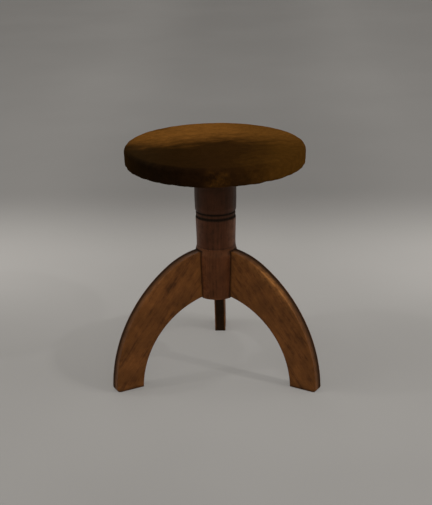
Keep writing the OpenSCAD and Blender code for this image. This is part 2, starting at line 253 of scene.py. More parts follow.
def surfaced(tree, shade, height, distance, strength=0.3, **sockets):
    """Ends a material with its colour, the relief of its surface, and what the shader's other sockets are given."""
    relief = add(tree, "Bump", {"Strength": strength, "Distance": distance, "Height": height})
    sockets = {name.replace("_", " "): value for name, value in sockets.items()}
    shader = add(tree, "BsdfPrincipled", {"Base Color": shade, "Normal": relief, **sockets})
    add(tree, "OutputMaterial", {"Surface": shader})


def stained_wood(name, light, dark, worn_and_lit, along, face, pith):
    """Stained beech, planed or turned and wiped with thin satin varnish: straight close grain with short flecks,
    a stain that took unevenly and sits darker in the hard rings, edges worn pale and painted with highlights,
    and darker grooves, joints and sawn edges. along is the way of the grain, face the way that its broad side
    looks, and pith the heart of the tree as it lies from the piece."""
    made, tree, place = new_material(name)
    broad, fine, short, cloudy = (laid_along(tree, place, along, face, stretch) for stretch in (12, 22, 9, 1.8))
    moved = add(tree, "Mapping", {"Vector": broad, "Location": (0, *pith)})
    rings = add(tree, "TexWave", {"Vector": moved, "Scale": math.pi / (10 * settings("wood").ring_width),
                                  "Distortion": 7.0, "Detail": 3.0, "Detail Scale": 0.45}, 1,
                wave_type="RINGS", rings_direction="X")
    # Bands of stain some 9 mm wide, streaks of 3 mm, flecks drawn at 1 mm so that they show, clouds of 8 mm,
    # patches of 34 mm, and places of 11 mm where the worn edges and painted highlights show
    bands, streaks, flecks, clouds, patches, rubbed = (
        add(tree, "TexNoise", {"Vector": vector, "Scale": 1 / (size * MM), "Detail": detail, "Roughness": rough})
        for vector, size, detail, rough in (
            (broad, 9, 3.0, 0.55), (fine, 3, 4.0, 0.62), (short, 1, 2.0, 0.7), (cloudy, 8, 5.0, 0.7),
            (place, 34, 3.0, 0.55), (place, 11, 4.0, 0.7)))
    grain = weighted(tree, (rings, 0.10), (bands, 0.24), (streaks, 0.32), (clouds, 0.52))
    base = add(tree, "ValToRGB", [grain],
               stops=[(0.40, dark), (0.60, mixed_colour(dark, light, 0.6)), (0.80, light)])
    uneven = add(tree, "MapRange", (patches, 0.28, 0.72, 0.78, 1.22), **SMOOTH)
    base = add(tree, "Mix", {0: 1.0, 6: base, 7: uneven}, 2, **TINT)
    flecks = add(tree, "MapRange", (flecks, 0.58, 0.74), **SMOOTH)
    base = add(tree, "Mix", {0: weighted(tree, (flecks, 0.35)), 6: base, 7: dark}, 2, **BLEND)
    # Worn edges and painted highlights both take the pale worn colour here
    edge = add(tree, "Attribute", out="Fac", attribute_name="wear_and_highlight")
    rubbed = add(tree, "MapRange", (rubbed, 0.36, 0.62, 0.15, 1.0), **SMOOTH)
    edge = add(tree, "Math", (edge, rubbed), operation="MULTIPLY")
    base = add(tree, "Mix", {0: edge, 6: base, 7: worn_and_lit}, 2, **BLEND)
    # Darker along grooves, joints, sawn edges and soles, as each piece writes it
    darkening = add(tree, "Attribute", out="Fac", attribute_name="dark")
    darkened_tone = mixed_colour(dark, (0.004, 0.003, 0.002, 1), 0.85)
    base = add(tree, "Mix", {0: darkening, 6: base, 7: darkened_tone}, 2, **BLEND)
    rough = add(tree, "MapRange", (streaks, 0.3, 0.7, 0.56, 0.40), **SMOOTH)
    rough = add(tree, "Math", (rough, weighted(tree, (darkening, 0.4))), operation="ADD", use_clamp=True)
    height = add(tree, "Math", (weighted(tree, (streaks, 0.5)), flecks), operation="SUBTRACT")
    surfaced(tree, base, height, 0.12 * MM, Roughness=rough, IOR=1.5, Specular_IOR_Level=0.22,
             Specular_Tint=hex_colour("#ffd9b0"))
    return made


def bare_wood(name, shade):
    """Bare sawn beech: pale and matt, with darker streaks along the grain."""
    made, tree, place = new_material(name)
    sawn = laid_along(tree, place, (1, 0, 0), (0, 0.3, 1), 20)
    streaks = add(tree, "TexNoise", {"Vector": sawn, "Scale": 1 / (3 * MM), "Detail": 4.0, "Roughness": 0.5})
    darker = mixed_colour(shade, (0.02, 0.02, 0.02, 1), 0.4)
    base = add(tree, "ValToRGB", [streaks], stops=[(0.3, darker), (0.7, shade)])
    surfaced(tree, base, streaks, 0.2 * MM, Roughness=0.78)
    return made


def cotton_velvet():
    """Cotton velvet with a short cut pile: it hides its weave and keeps the marks of every hand and seam of the lap.
    Its colour follows the lie of the pile and painted light: painted shade on the left, painted light on the
    right side and a painted sheen at the back of the top."""
    seat = settings("seat")
    made, tree, place = new_material("cotton_velvet")
    x, y, z = add(tree, "SeparateXYZ", [place], slice(3))
    sideways = laid_along(tree, place, (1, 0.3, 0), (0, 0, 1), 2.2)
    # The nap drifts over 70 mm and lies in wisps of 16 mm, is crossed and crushed over 11 and 9 mm, and the pile
    # is drawn at 1.1 mm so that it shows
    drift, wisps, crossed, crushed, pile = (
        add(tree, "TexNoise", {"Vector": vector, "Scale": 1 / (size * MM), "Detail": detail, "Roughness": rough})
        for vector, size, detail, rough in (
            (place, 70, 3.0, 0.6), (sideways, 16, 4.0, 0.6), (place, 11, 5.0, 0.7), (place, 9, 5.0, 0.65),
            (place, 1.1, 2.0, 0.7)))
    drift, wisps = (add(tree, "Math", (value, 0.5), operation="SUBTRACT") for value in (drift, wisps))
    # Round the front the colour turns slowly from painted shade on the left to painted light on the right, over the
    # changing lie of the pile
    way = add(tree, "Math", (weighted(tree, (x, 1.0), (wisps, 0.06), (drift, 0.09)), 0.17), operation="ADD")
    way = add(tree, "Math", (way, 0.34), operation="DIVIDE", use_clamp=True)
    front_painted_light = add(tree, "ValToRGB", [way], curve="LINEAR", stops=[
        (0.12, seat.nap_painted_shade), (0.29, mixed_colour(seat.nap_painted_shade, seat.nap_painted_half_shade, 0.35)),
        (0.50, seat.nap_painted_half_shade), (0.65, mixed_colour(seat.nap_painted_half_shade, seat.nap_painted_lit_side, 0.1)), (0.88, seat.nap_painted_lit_side)])
    # At the back of the top the pile lies the other way, with a painted sheen on it, and the change from one to the
    # other is slow
    leftward = add(tree, "Math", (x, 0.0), operation="MINIMUM")
    far_left = add(tree, "Math", (add(tree, "Math", (x, 0.105), operation="ADD"), 0.0), operation="MINIMUM")
    across = weighted(tree, (y, 1.0), (leftward, -0.27), (far_left, 0.7), (drift, 0.08), (wisps, 0.07))
    back = add(tree, "MapRange", (across, -0.038, 0.082), **SMOOTH)
    right = add(tree, "MapRange", (weighted(tree, (x, 1.0), (drift, 0.10)), 0.0, 0.09), **SMOOTH)
    back_painted_sheen = add(tree, "Mix", {0: right, 6: seat.nap_painted_sheen,
                                   7: mixed_colour(seat.nap_painted_sheen, seat.nap_painted_lit_side, 0.5)}, 2, **BLEND)
    # Far on the left, painted light makes the front of the top lighter than the side, and painted shade makes its back
    # darker
    painted_lighter, darker = (add(tree, "MapRange", (x, *span), **SMOOTH)
                       for span in ((-0.15, -0.06, 1.9, 0.78), (-0.16, -0.05, 0.80, 1.0)))
    top_front_painted_light = add(tree, "Mix", {0: 1.0, 6: front_painted_light, 7: painted_lighter}, 2, **TINT)
    back_painted_sheen = add(tree, "Mix", {0: 1.0, 6: back_painted_sheen, 7: darker}, 2, **TINT)
    top_painted_light = add(tree, "Mix", {0: back, 6: top_front_painted_light, 7: back_painted_sheen}, 2, **BLEND)
    # In the middle of the front the pile has been crossed
    aside = add(tree, "Math", [add(tree, "Math", (x, 0.012), operation="SUBTRACT")], operation="ABSOLUTE")
    front = add(tree, "MapRange", (aside, 0.006, 0.032, 1.0, 0.0), **SMOOTH)
    crossed = add(tree, "MapRange", (crossed, 0.34, 0.76, 0.0, 0.72), **SMOOTH)
    front = add(tree, "Math", (front, crossed), operation="MULTIPLY")
    side_painted_light = add(tree, "Mix", {0: front, 6: front_painted_light,
                                   7: mixed_colour(seat.nap_painted_lit_side, seat.nap_painted_sheen, 0.3)}, 2, **BLEND)
    # Top and side carry different painted light, blended over the rounded edge
    edge_z = COVER_HIGH.z - seat.edge_radius - seat.crown
    height_here = weighted(tree, (z, 1.0), (drift, 0.016), (wisps, 0.010))
    on_top = add(tree, "MapRange", (height_here, edge_z - 1 * MM, edge_z + 11 * MM), **SMOOTH)
    shade = add(tree, "Mix", {0: on_top, 6: side_painted_light, 7: top_painted_light}, 2, **BLEND)
    crushed = add(tree, "MapRange", (crushed, 0.25, 0.75, 0.80, 1.20), **SMOOTH)
    brushed = add(tree, "MapRange", (wisps, -0.2, 0.2, 0.92, 1.08), **SMOOTH)
    speckled = add(tree, "MapRange", (pile, 0.2, 0.8, 0.88, 1.12), **SMOOTH)
    for spread in (crushed, brushed, speckled):
        shade = add(tree, "Mix", {0: 1.0, 6: shade, 7: spread}, 2, **TINT)
    surfaced(tree, shade, weighted(tree, (crushed, 0.8), (pile, 0.5)), 0.5 * MM, 0.5, Roughness=1.0,
             Specular_IOR_Level=0.0, Sheen_Weight=0.09, Sheen_Roughness=0.5, Sheen_Tint=hex_colour("#b07a34"))
    return made


def glazed_cotton():
    """Black glazed cotton, the thin plain weave that closes the underside of a seat."""
    made, tree, place = new_material("glazed_cotton")
    # Threads are 0.5 mm apart, and drawn twice as coarse so that they show
    threads = [add(tree, "TexWave", {"Vector": place, "Scale": math.pi / (10 * MM), "Distortion": 1.0, "Detail": 1.0},
                   1, wave_type="BANDS", bands_direction=direction) for direction in "XY"]
    weave = add(tree, "Math", threads, operation="MULTIPLY")
    dust = add(tree, "TexNoise", {"Vector": place, "Scale": 1 / (40 * MM), "Detail": 4.0, "Roughness": 0.6})
    dust = add(tree, "MapRange", (dust, 0.35, 0.75), **SMOOTH)
    base = add(tree, "Mix", {0: weave, 6: hex_colour("#141210"), 7: hex_colour("#2a2724")}, 2, **BLEND)
    base = add(tree, "Mix", {0: weighted(tree, (dust, 0.35)), 6: base, 7: hex_colour("#4a443c")}, 2, **BLEND)
    surfaced(tree, base, weave, 0.15 * MM, 0.4, Roughness=0.7)
    return made


def worked_metal(name, shade, roughness, mark_size, metallic=1.0, rust=0.0, oiled=None):
    """Steel or iron with the marks that made its surface: turned or forged, oiled, and a little rusty. The marks'
    size is in millimetres, and oiled gives the radii between which old oil fades out, from the root of a
    thread to its crest."""
    made, tree, place = new_material(name)
    tooled, grime = (
        add(tree, "TexNoise", {"Vector": place, "Scale": 1 / (size * MM), "Detail": 4.0, "Roughness": rough})
        for size, rough in ((mark_size, 0.6), (14, 0.65)))
    grime = add(tree, "MapRange", (grime, 0.42, 0.72), **SMOOTH)
    soiled = mixed_colour(shade, (0.01, 0.01, 0.01, 1), 0.7)
    base = add(tree, "Mix", {0: weighted(tree, (grime, 0.55)), 6: shade, 7: soiled}, 2, **BLEND)
    if rust:
        spots = add(tree, "TexNoise", {"Vector": place, "Scale": 1 / (5 * MM), "Detail": 5.0, "Roughness": 0.7})
        spots = add(tree, "MapRange", (spots, 0.56, 0.68), **SMOOTH)
        base = add(tree, "Mix", {0: weighted(tree, (spots, rust)), 6: base, 7: hex_colour("#5a3420")}, 2, **BLEND)
    if oiled:
        x, y = add(tree, "SeparateXYZ", [place], slice(2))
        radius = add(tree, "VectorMath", [add(tree, "CombineXYZ", (x, y))], "Value", operation="LENGTH")
        oil = add(tree, "MapRange", (radius, *oiled, 0.85, 0.0), **SMOOTH)
        base = add(tree, "Mix", {0: oil, 6: base, 7: hex_colour("#17130f")}, 2, **BLEND)
    rough = add(tree, "MapRange", (tooled, 0.3, 0.7, roughness - 0.08, roughness + 0.12), **SMOOTH)
    surfaced(tree, base, tooled, 0.1 * MM, Roughness=rough, Metallic=metallic)
    return made


def finishes():
    """How each finish is made: its maker and what the maker is given."""
    wood, screw = settings("wood"), settings("screw")
    upright = ((0, 0, 1), (0, -1, 0))
    black = (0, 0, 0, 1)
    thread = (SPINDLE_HIGH.x - screw.thread_depth, SPINDLE_HIGH.x - 0.3 * MM)
    made = {
        "velvet": (cotton_velvet,),
        "dust_cloth": (glazed_cotton,),
        "board": (bare_wood, "bare_board", hex_colour("#b58c5c")),
        "dowel": (bare_wood, "beech_dowel", hex_colour("#c3a175")),
        # The third colour of each stained finish is for worn edges and painted highlights
        "column": (stained_wood, "stained_beech_column", wood.column_light, wood.column_dark,
                   hex_colour("#6a4430"), *upright, (0.05, 0.02)),
        # The collar's finish is the column's with painted shade: its colours darkened by a third for the shadow under
        # the seat
        "collar": (stained_wood, "stained_beech_collar", mixed_colour(wood.column_light, black, 0.3),
                   mixed_colour(wood.column_dark, black, 0.3), hex_colour("#52352a"), *upright, (0.02, 0.05)),
        "hub": (stained_wood, "stained_beech_hub", wood.hub_light, wood.hub_dark,
                hex_colour("#7a4a2c"), *upright, (0.03, -0.06)),
        "spindle": (worked_metal, "turned_steel", screw.steel, 0.36, 0.8, 1.0, 0.0, thread),
        "iron": (worked_metal, "blackened_iron", screw.iron, 0.55, 1.2, 0.7, 0.5),
        "screw": (worked_metal, "bright_steel", hex_colour("#9c9890"), 0.3, 0.5, 1.0, 0.25),
        "tack": (worked_metal, "blued_steel", hex_colour("#1d1e22"), 0.34, 0.6, 1.0, 0.15),
    }
    # A plank's grain falls at 51 degrees, from crest to toe
    drop = math.radians(51)
    for number, (side, angle) in enumerate(LEG_ANGLES.items()):
        out, across = leg_axes(angle)
        along = out * math.cos(drop) - Vector((0, 0, math.sin(drop)))
        made["leg_" + side] = (stained_wood, "stained_beech_leg_" + side, wood.leg_light, wood.leg_dark,
                               wood.leg_worn_and_lit, along, across, (0.11 + 0.05 * number, 0.3 - 0.04 * number))
    return made


MATERIALS = {}


def material(name):
    """A finish by name, made when it is first asked for."""
    if name not in MATERIALS:
        maker, *given = finishes()[name]
        MATERIALS[name] = maker(*given)
    return MATERIALS[name]


# Meshes

def mesh_object(name, points, faces, finish, smooth_angle=35.0):
    """A mesh object from points in metres, with its normals outwards and its edges smooth up to an angle."""
    mesh = bpy.data.meshes.new(name)
    mesh.from_pydata([tuple(p) for p in points], [], faces)
    shape = bmesh.new()
    shape.from_mesh(mesh)
    bmesh.ops.recalc_face_normals(shape, faces=shape.faces)
    shape.to_mesh(mesh)
    shape.free()
    mesh.validate()
    made = bpy.data.objects.new(name, mesh)
    bpy.context.scene.collection.objects.link(made)
    made.data.materials.append(finish)
    smooth(made, smooth_angle)
    return made


def smooth(made, angle):
    """Smooth shading, with edges sharper than an angle left crisp."""
    made.data.polygons.foreach_set("use_smooth", [True] * len(made.data.polygons))
    made.data.set_sharp_from_angle(angle=math.radians(angle))


def marks_of_wear_and_light(made, worn_and_lit, dark):
    """Writes, at each point of a piece, its wear and painted highlight, and how much darker it is."""
    for name, values in (("wear_and_highlight", worn_and_lit), ("dark", dark)):
        attribute = made.data.attributes.new(name, "FLOAT", "POINT")
        attribute.data.foreach_set("value", np.asarray(values, np.float32))


def applied(made):
    """Turns a piece's modifiers into plain mesh."""
    mesh = bpy.data.meshes.new_from_object(made.evaluated_get(bpy.context.evaluated_depsgraph_get()))
    made.modifiers.clear()
    old, made.data = made.data, mesh
    bpy.data.meshes.remove(old)
    return made


def finished(made, body, slot, *nodes):
    """A finished piece: it rides on a body and stands for CAD nodes, which it hides. Its slot is not used."""
    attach(made, body)
    if nodes:
        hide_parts(*nodes)


def arc(cx, cz, radius, first, last, steps):
    """Points on an arc, from one angle in degrees to another."""
    angles = np.radians(np.linspace(first, last, steps + 1))
    return [(cx + radius * math.cos(a), cz + radius * math.sin(a)) for a in angles]


def ring(radius, height, steps):
    """Points of a level ring round the stool's axis."""
    return [(radius * math.cos(2 * math.pi * k / steps), radius * math.sin(2 * math.pi * k / steps), height)
            for k in range(steps)]


def quads(rings, steps, start=0, turned_over=False):
    """Faces between rings of points that follow one another, from a starting point on."""
    faces = []
    for row in range(start, start + (rings - 1) * steps, steps):
        for a, b in ((row + k, row + (k + 1) % steps) for k in range(steps)):
            faces.append((a, a + steps, b + steps, b) if turned_over else (a, b, b + steps, a + steps))
    return faces


def near(value, centre, width):
    """One at the centre, falling off to nothing at a width from it."""
    return max(0.0, 1 - abs(value - centre) / width)


def limited(value):
    return max(0.0, min(1.0, value))


def with_tight_corners(points):
    """A closed outline whose corners are cut back by a small chamfer, so that they catch the light."""
    out = []
    for i, here in enumerate(points):
        here = Vector(here)
        a, b = Vector(points[i - 1]) - here, Vector(points[(i + 1) % len(points)]) - here
        if here.x < 1e-6 or min(a.length, b.length) < 2.5 * TURNED_EDGE or a.angle(b) > math.radians(155):
            out.append(tuple(here))
        else:
            out += [tuple(here + side.normalized() * TURNED_EDGE) for side in (a, b)]
    return out


def refined(outline):
    """An outline whose long runs are cut into steps, so that marks can lie between its corners."""
    out = []
    for here, following in zip(outline, outline[1:] + outline[:1]):
        parts = max(1, round(math.dist(here, following) / TURNED_STEP))
        out += [tuple(a + (b - a) * k / parts for a, b in zip(here, following)) for k in range(parts)]
    return out


def turned(name, outline, finish, steps=144):
    """A lathe-turned piece: a closed outline of (radius, height), spun about the stool's axis."""
    points, faces, rows = [], [], []
    for radius, height in outline:
        count = 1 if radius < 1e-6 else steps
        rows.append([len(points) + k for k in range(count)])
        points += ring(radius, height, count)
    for row, following in zip(rows, rows[1:] + rows[:1]):
        if len(row) == 1 and len(following) == 1:
            continue
        for k in range(steps):
            corners = [row[k % len(row)], row[(k + 1) % len(row)],
                       following[(k + 1) % len(following)], following[k % len(following)]]
            faces.append(tuple(dict.fromkeys(corners)))
    return mesh_object(name, points, faces, finish)


def marked(made, marks_at):
    """Writes wear, painted highlights and darkening on a piece from a function of each point's place."""
    marks_of_wear_and_light(made, *zip(*(marks_at(vertex.co) for vertex in made.data.vertices)))
    return made


# Upholstery

def seat_outline():
    """Half section of the upholstery from its hem to the crown, as (radius, height)."""
    seat = settings("seat")
    corner_r = 4 * MM
    girth_z = COVER_HIGH.z - seat.edge_radius - seat.crown
    edge_x = COVER_HIGH.x - seat.edge_radius
    rise = seat.edge_radius + seat.crown
    crown_r = (edge_x ** 2 + rise ** 2 - seat.edge_radius ** 2) / (2 * seat.crown)
    side_r = ((girth_z - COVER_LOW.z) ** 2 + seat.draw_in ** 2) / (2 * seat.draw_in)
    side_x = COVER_HIGH.x - side_r
    corner_z = COVER_LOW.z + corner_r
    corner_x = side_x + math.sqrt(side_r ** 2 - (girth_z - corner_z) ** 2) - corner_r
    side_a = math.degrees(math.asin((girth_z - corner_z) / side_r))
    edge_b = math.degrees(math.atan2(girth_z - (COVER_HIGH.z - crown_r), edge_x))
    hem_x = BOARD_HIGH.x - seat.hem_width
    points = [(hem_x + (corner_x - hem_x) * k / HEM_ROWS, COVER_LOW.z) for k in range(HEM_ROWS)]
    points += arc(corner_x, corner_z, corner_r, -90, 0, 7)
    points += arc(side_x, girth_z, side_r, -side_a, 0, 9)[1:]
    points += arc(edge_x, girth_z, seat.edge_radius, 0, edge_b, 14)[1:]
    return points + arc(0, COVER_HIGH.z - crown_r, crown_r, edge_b, 90, 30)[1:]


def upholstery():
    """The velvet cover over its stuffing, drawn down over the board and turned under it in small gathers."""
    outline = seat_outline()
    rows = len(outline) - 1
    points = [point for radius, height in outline[:-1] for point in ring(radius, height, AROUND_SEAT)]
    points.append((0, 0, outline[-1][1]))
    faces = quads(rows, AROUND_SEAT)
    last = (rows - 1) * AROUND_SEAT
    faces += [(last + k, last + (k + 1) % AROUND_SEAT, last + AROUND_SEAT) for k in range(AROUND_SEAT)]
    base = np.array(points)
    shaped = base + seat_folds(base, outline)
    closing = tuple(range(AROUND_SEAT))[::-1]
    shaped += between_tacks(stuffing_push(shaped, faces + [closing], held_by_tacks()), shaped)
    return close_under_board(shaped, faces)


def seat_folds(base, outline):
    """Gathers where the velvet turns under the board, and shallow hollows that use has pressed into the top."""
    seat = settings("seat")
    out = np.zeros_like(base)
    girth_z = COVER_HIGH.z - seat.edge_radius - seat.crown
    for index, (x, y, z) in enumerate(base):
        radius = math.hypot(x, y)
        if radius < 1e-6:
            continue
        outward = Vector((x / radius, y / radius, 0))
        gather = (noise.noise(outward * 13 + Vector((0, 0, 3.1)))
                  + 0.6 * noise.noise(outward * 29 + Vector((0, 0, 7.7))))
        if z < COVER_LOW.z + 0.5 * MM:
            inner = (radius - outline[0][0]) / (outline[HEM_ROWS][0] - outline[0][0])
            out[index, 2] = seat.fold_depth * 0.5 * gather * limited((inner - 0.3) / 0.4)
        elif z > girth_z + seat.edge_radius * 0.8:
            wave = noise.noise(Vector((x * 15, y * 15, 5.0))) + 0.5 * noise.noise(Vector((x * 34, y * 34, 9.0)))
            out[index, 2] = 0.55 * MM * wave * min(1.0, (1 - radius / COVER_HIGH.x) * 5 + 0.2)
        else:
            rise = limited((z - COVER_LOW.z) / (girth_z - COVER_LOW.z))
            soft = noise.noise(outward * 2.6 + Vector((0, 0, z * 14)))
            crease = noise.noise(Vector((outward.x * 7, outward.y * 7, z * 95)))
            side = seat.fold_depth * (0.75 * gather * (1 - rise) ** 1.6 + 0.9 * soft * (1 - abs(2 * rise - 0.7)))
            side += 0.45 * MM * crease * (1 - rise * 0.4)
            # Use has pushed the stuffing a little to the right
            side += 0.9 * MM * max(0.0, outward.x)
            fade = 1.0 - 0.8 * max(0.0, (z - girth_z) / seat.edge_radius)
            out[index, :2] = outward.x * side * fade, outward.y * side * fade
    return out


def held_by_tacks():
    """The points of the hem that can't move: its inner part, and farther out the places beside the tacks."""
    inner_rows = 5
    held = list(range(inner_rows * AROUND_SEAT))
    for k in range(AROUND_SEAT):
        off = k * settings("seat").hem_tacks / AROUND_SEAT % 1
        if min(off, 1 - off) < 0.2:
            held += [row * AROUND_SEAT + k for row in range(inner_rows, HEM_ROWS)]
    return held


def stuffing_push(points, faces, held):
    """How far the stuffing moves each point of the velvet: a cloth simulation with the hem held."""
    scene = bpy.context.scene
    mesh = bpy.data.meshes.new("stuffing_push")
    mesh.from_pydata(points, [], faces)
    cloth = bpy.data.objects.new("stuffing_push", mesh)
    scene.collection.objects.link(cloth)
    cloth.vertex_groups.new(name="held").add(held, 1.0, "REPLACE")
    modifier = cloth.modifiers.new("Cloth", "CLOTH")
    given = {"vertex_group_mass": "held", "use_pressure": True, "uniform_pressure_force": 4.0, "quality": 6,
             "tension_stiffness": 40.0, "compression_stiffness": 40.0, "bending_stiffness": 0.4,
             "shrink_min": -0.002}
    for name, value in given.items():
        setattr(modifier.settings, name, value)
    modifier.settings.effector_weights.gravity = 0.0
    modifier.collision_settings.use_collision = False
    for number in range(1, 21):
        scene.frame_set(number)
    moved = np.zeros(len(points) * 3)
    cloth.evaluated_get(bpy.context.evaluated_depsgraph_get()).data.vertices.foreach_get("co", moved)
    bpy.data.objects.remove(cloth)
    scene.frame_set(1)
    return moved.reshape(-1, 3) - np.array(points)


def between_tacks(push, shaped):
    """The part of the stuffing's push that differs round the seat: its even swelling is in the outline already."""
    rows = len(push) // AROUND_SEAT
    rings = push[:rows * AROUND_SEAT].reshape(rows, AROUND_SEAT, 3)
    flat = shaped[:rows * AROUND_SEAT].reshape(rows, AROUND_SEAT, 3)[:, :, :2]
    outward = flat / np.linalg.norm(flat, axis=2, keepdims=True)
    radial = (rings[:, :, :2] * outward).sum(axis=2)
    out = np.zeros_like(push)
    own = out[:rows * AROUND_SEAT].reshape(rows, AROUND_SEAT, 3)
    own[:, :, :2] = (radial - radial.mean(axis=1, keepdims=True))[:, :, None] * outward
    own[:, :, 2] = rings[:, :, 2] - rings[:, :, 2].mean(axis=1, keepdims=True)
    # The cloth is free to fold at the hem, and stretched smooth over the edge and the crown
    own *= np.interp(range(rows), (0, 9, 17, 26, 40, rows), (0.3, 1.0, 0.6, 0.2, 0.08, 0.05))[:, None, None]
    size = np.linalg.norm(out, axis=1, keepdims=True)
    return out * np.minimum(1.0, settings("seat").puff / np.maximum(size, 1e-9))


def close_under_board(shaped, faces):
    """Closes the velvet and its stuffing into one solid that fits round the board with a hair's clearance."""
    clear = 0.3 * MM
    inner_r, top_z, under_z = BOARD_HIGH.x + clear, BOARD_HIGH.z + clear, BOARD_LOW.z - clear
    loop = [(BOARD_HIGH.x - settings("seat").hem_width, under_z), (inner_r, under_z),
            (inner_r, (under_z + top_z) / 2), (inner_r, top_z), (inner_r * 0.6, top_z), (inner_r * 0.25, top_z)]
    points = [tuple(p) for p in shaped]
    start = len(points)
    for radius, height in loop:
        points += ring(radius, height, AROUND_SEAT)
    points.append((0, 0, top_z))
    following = [(k + 1) % AROUND_SEAT for k in range(AROUND_SEAT)]
    last = len(points) - 1 - AROUND_SEAT
    faces = faces + [(k, start + k, start + after, after) for k, after in enumerate(following)]
    faces += quads(len(loop), AROUND_SEAT, start, True)
    faces += [(last + k, len(points) - 1, last + after) for k, after in enumerate(following)]
    return mesh_object("velvet_seat", points, faces, material("velvet"), 50.0)


def dust_cloth():
    """The dust cloth: stretched between its tacks, it scallops at its edge and sags a little."""
    steps, rings = 168, 14
    inner, outer = COLLAR_HIGH.x + 0.5 * MM, CLOTH_HIGH.x
    tacks = settings("seat").cloth_tacks
    thickness = 0.45 * MM
    points = []
    for level in (0.0, thickness):
        for i in range(rings + 1):
            out = i / rings
            for k in range(steps):
                a = 2 * math.pi * k / steps
                scallop = 1.0 * MM * (0.5 - 0.5 * math.cos(tacks * a)) * out ** 6
                radius = inner + (outer - scallop - inner) * out
                pucker = 0.175 * MM * math.cos(tacks * a) * out ** 3
                sag = 0.7 * MM * math.sin(math.pi * out) * (1 + 0.5 * noise.noise(Vector((a * 2, out * 4, 0))))
                points.append((radius * math.cos(a), radius * math.sin(a), CLOTH_LOW.z + level - sag - pucker))
    layer = (rings + 1) * steps
    faces = quads(rings + 1, steps) + quads(rings + 1, steps, layer, True)
    for row in (0, rings * steps):
        for k in range(steps):
            a, b = row + k, row + (k + 1) % steps
            faces.append((a, layer + a, layer + b, b))
    return mesh_object("dust_cloth_sheet", points, faces, material("dust_cloth"), 60.0)


# Legs

def leg_axes(angle):
    """The way out from the stool's axis along a leg, and the way across the leg."""
    a = math.radians(angle)
    return Vector((math.cos(a), math.sin(a), 0)), Vector((-math.sin(a), math.cos(a), 0))


def flat_reach(height):
    """Distance from the axis to the flat on which a leg ends, at a height."""
    low, high = (math.sqrt(r * r - LEG_HALF * LEG_HALF) - settings("leg").housing_depth
                 for r in (HUB_FOOT_R, HUB_TOP_R))
    return low + (high - low) * (height - HUB_LOW.z) / (HUB_HIGH.z - HUB_COVE - HUB_LOW.z)


def leg_curves():
    """Matching points along the arch and the outer edge of a leg, from the hub down to the sole, as (reach, height)."""
    leg = settings("leg")
    outer_x = BACK_LEG_HIGH.y - leg.outer_radius
    crest_x = outer_x + (leg.outer_radius - leg.crest_radius) * math.cos(leg.crest_angle)
    crest_z = (leg.outer_radius - leg.crest_radius) * math.sin(leg.crest_angle)
    toe_x = outer_x + math.sqrt((leg.outer_radius - leg.toe_radius) ** 2 - leg.toe_radius ** 2)
    top_a = math.degrees(math.acos((flat_reach(HUB_HIGH.z) - crest_x) / leg.crest_radius))
    crest_a = math.degrees(leg.crest_angle)
    toe_a = math.degrees(math.asin(leg.toe_radius / (leg.outer_radius - leg.toe_radius)))
    outer = arc(crest_x, crest_z, leg.crest_radius, top_a, crest_a, 16)
    outer += arc(outer_x, 0, leg.outer_radius, crest_a, toe_a, 34)[1:]
    outer += arc(toe_x, leg.toe_radius, leg.toe_radius, toe_a, -90, 6)[1:]
    first_a = math.degrees(math.acos(flat_reach(HUB_LOW.z) / leg.arch_radius))
    last_a = math.degrees(math.asin(leg.arch_drop / leg.arch_radius))
    return arc(0, -leg.arch_drop, leg.arch_radius, first_a, last_a, len(outer) - 1), outer


def leg_section(span):
    """Section of a leg, from the middle of its arch edge: (along, sideways, and one on the eased edges, where wear and
    painted highlight go), with its edges eased.
    """
    arris = min(settings("leg").arris, span * 0.2)
    eased = [(arris * (1 - math.cos(t * math.pi / 2)), arris * (1 - math.sin(t * math.pi / 2)))
             for t in (0.0, 0.3, 0.7, 1.0)]
    section = []
    for outside, face in ((False, 1), (True, 1), (True, -1), (False, -1)):
        for cut_edge, cut_face in eased if outside == (face == 1) else eased[::-1]:
            section.append((span - cut_face if outside else cut_face, face * (LEG_HALF - cut_edge), 1.0))
    # Points beside each eased edge, where the line of wear and painted highlight fades out, and between them
    fade = min(1.6 * MM, span * 0.2)
    out = []
    for (along, sideways, worn_and_lit), following in zip(section, section[1:] + section[:1]):
        out.append((along, sideways, worn_and_lit))
        run, turn = following[0] - along, following[1] - sideways
        gap = math.hypot(run, turn)
        if gap > 3 * fade:
            places = [fade / gap, 0.2, 0.4, 0.6, 0.8, 1 - fade / gap]
            out += [(along + run * place, sideways + turn * place, 0.0) for place in places]
    return out


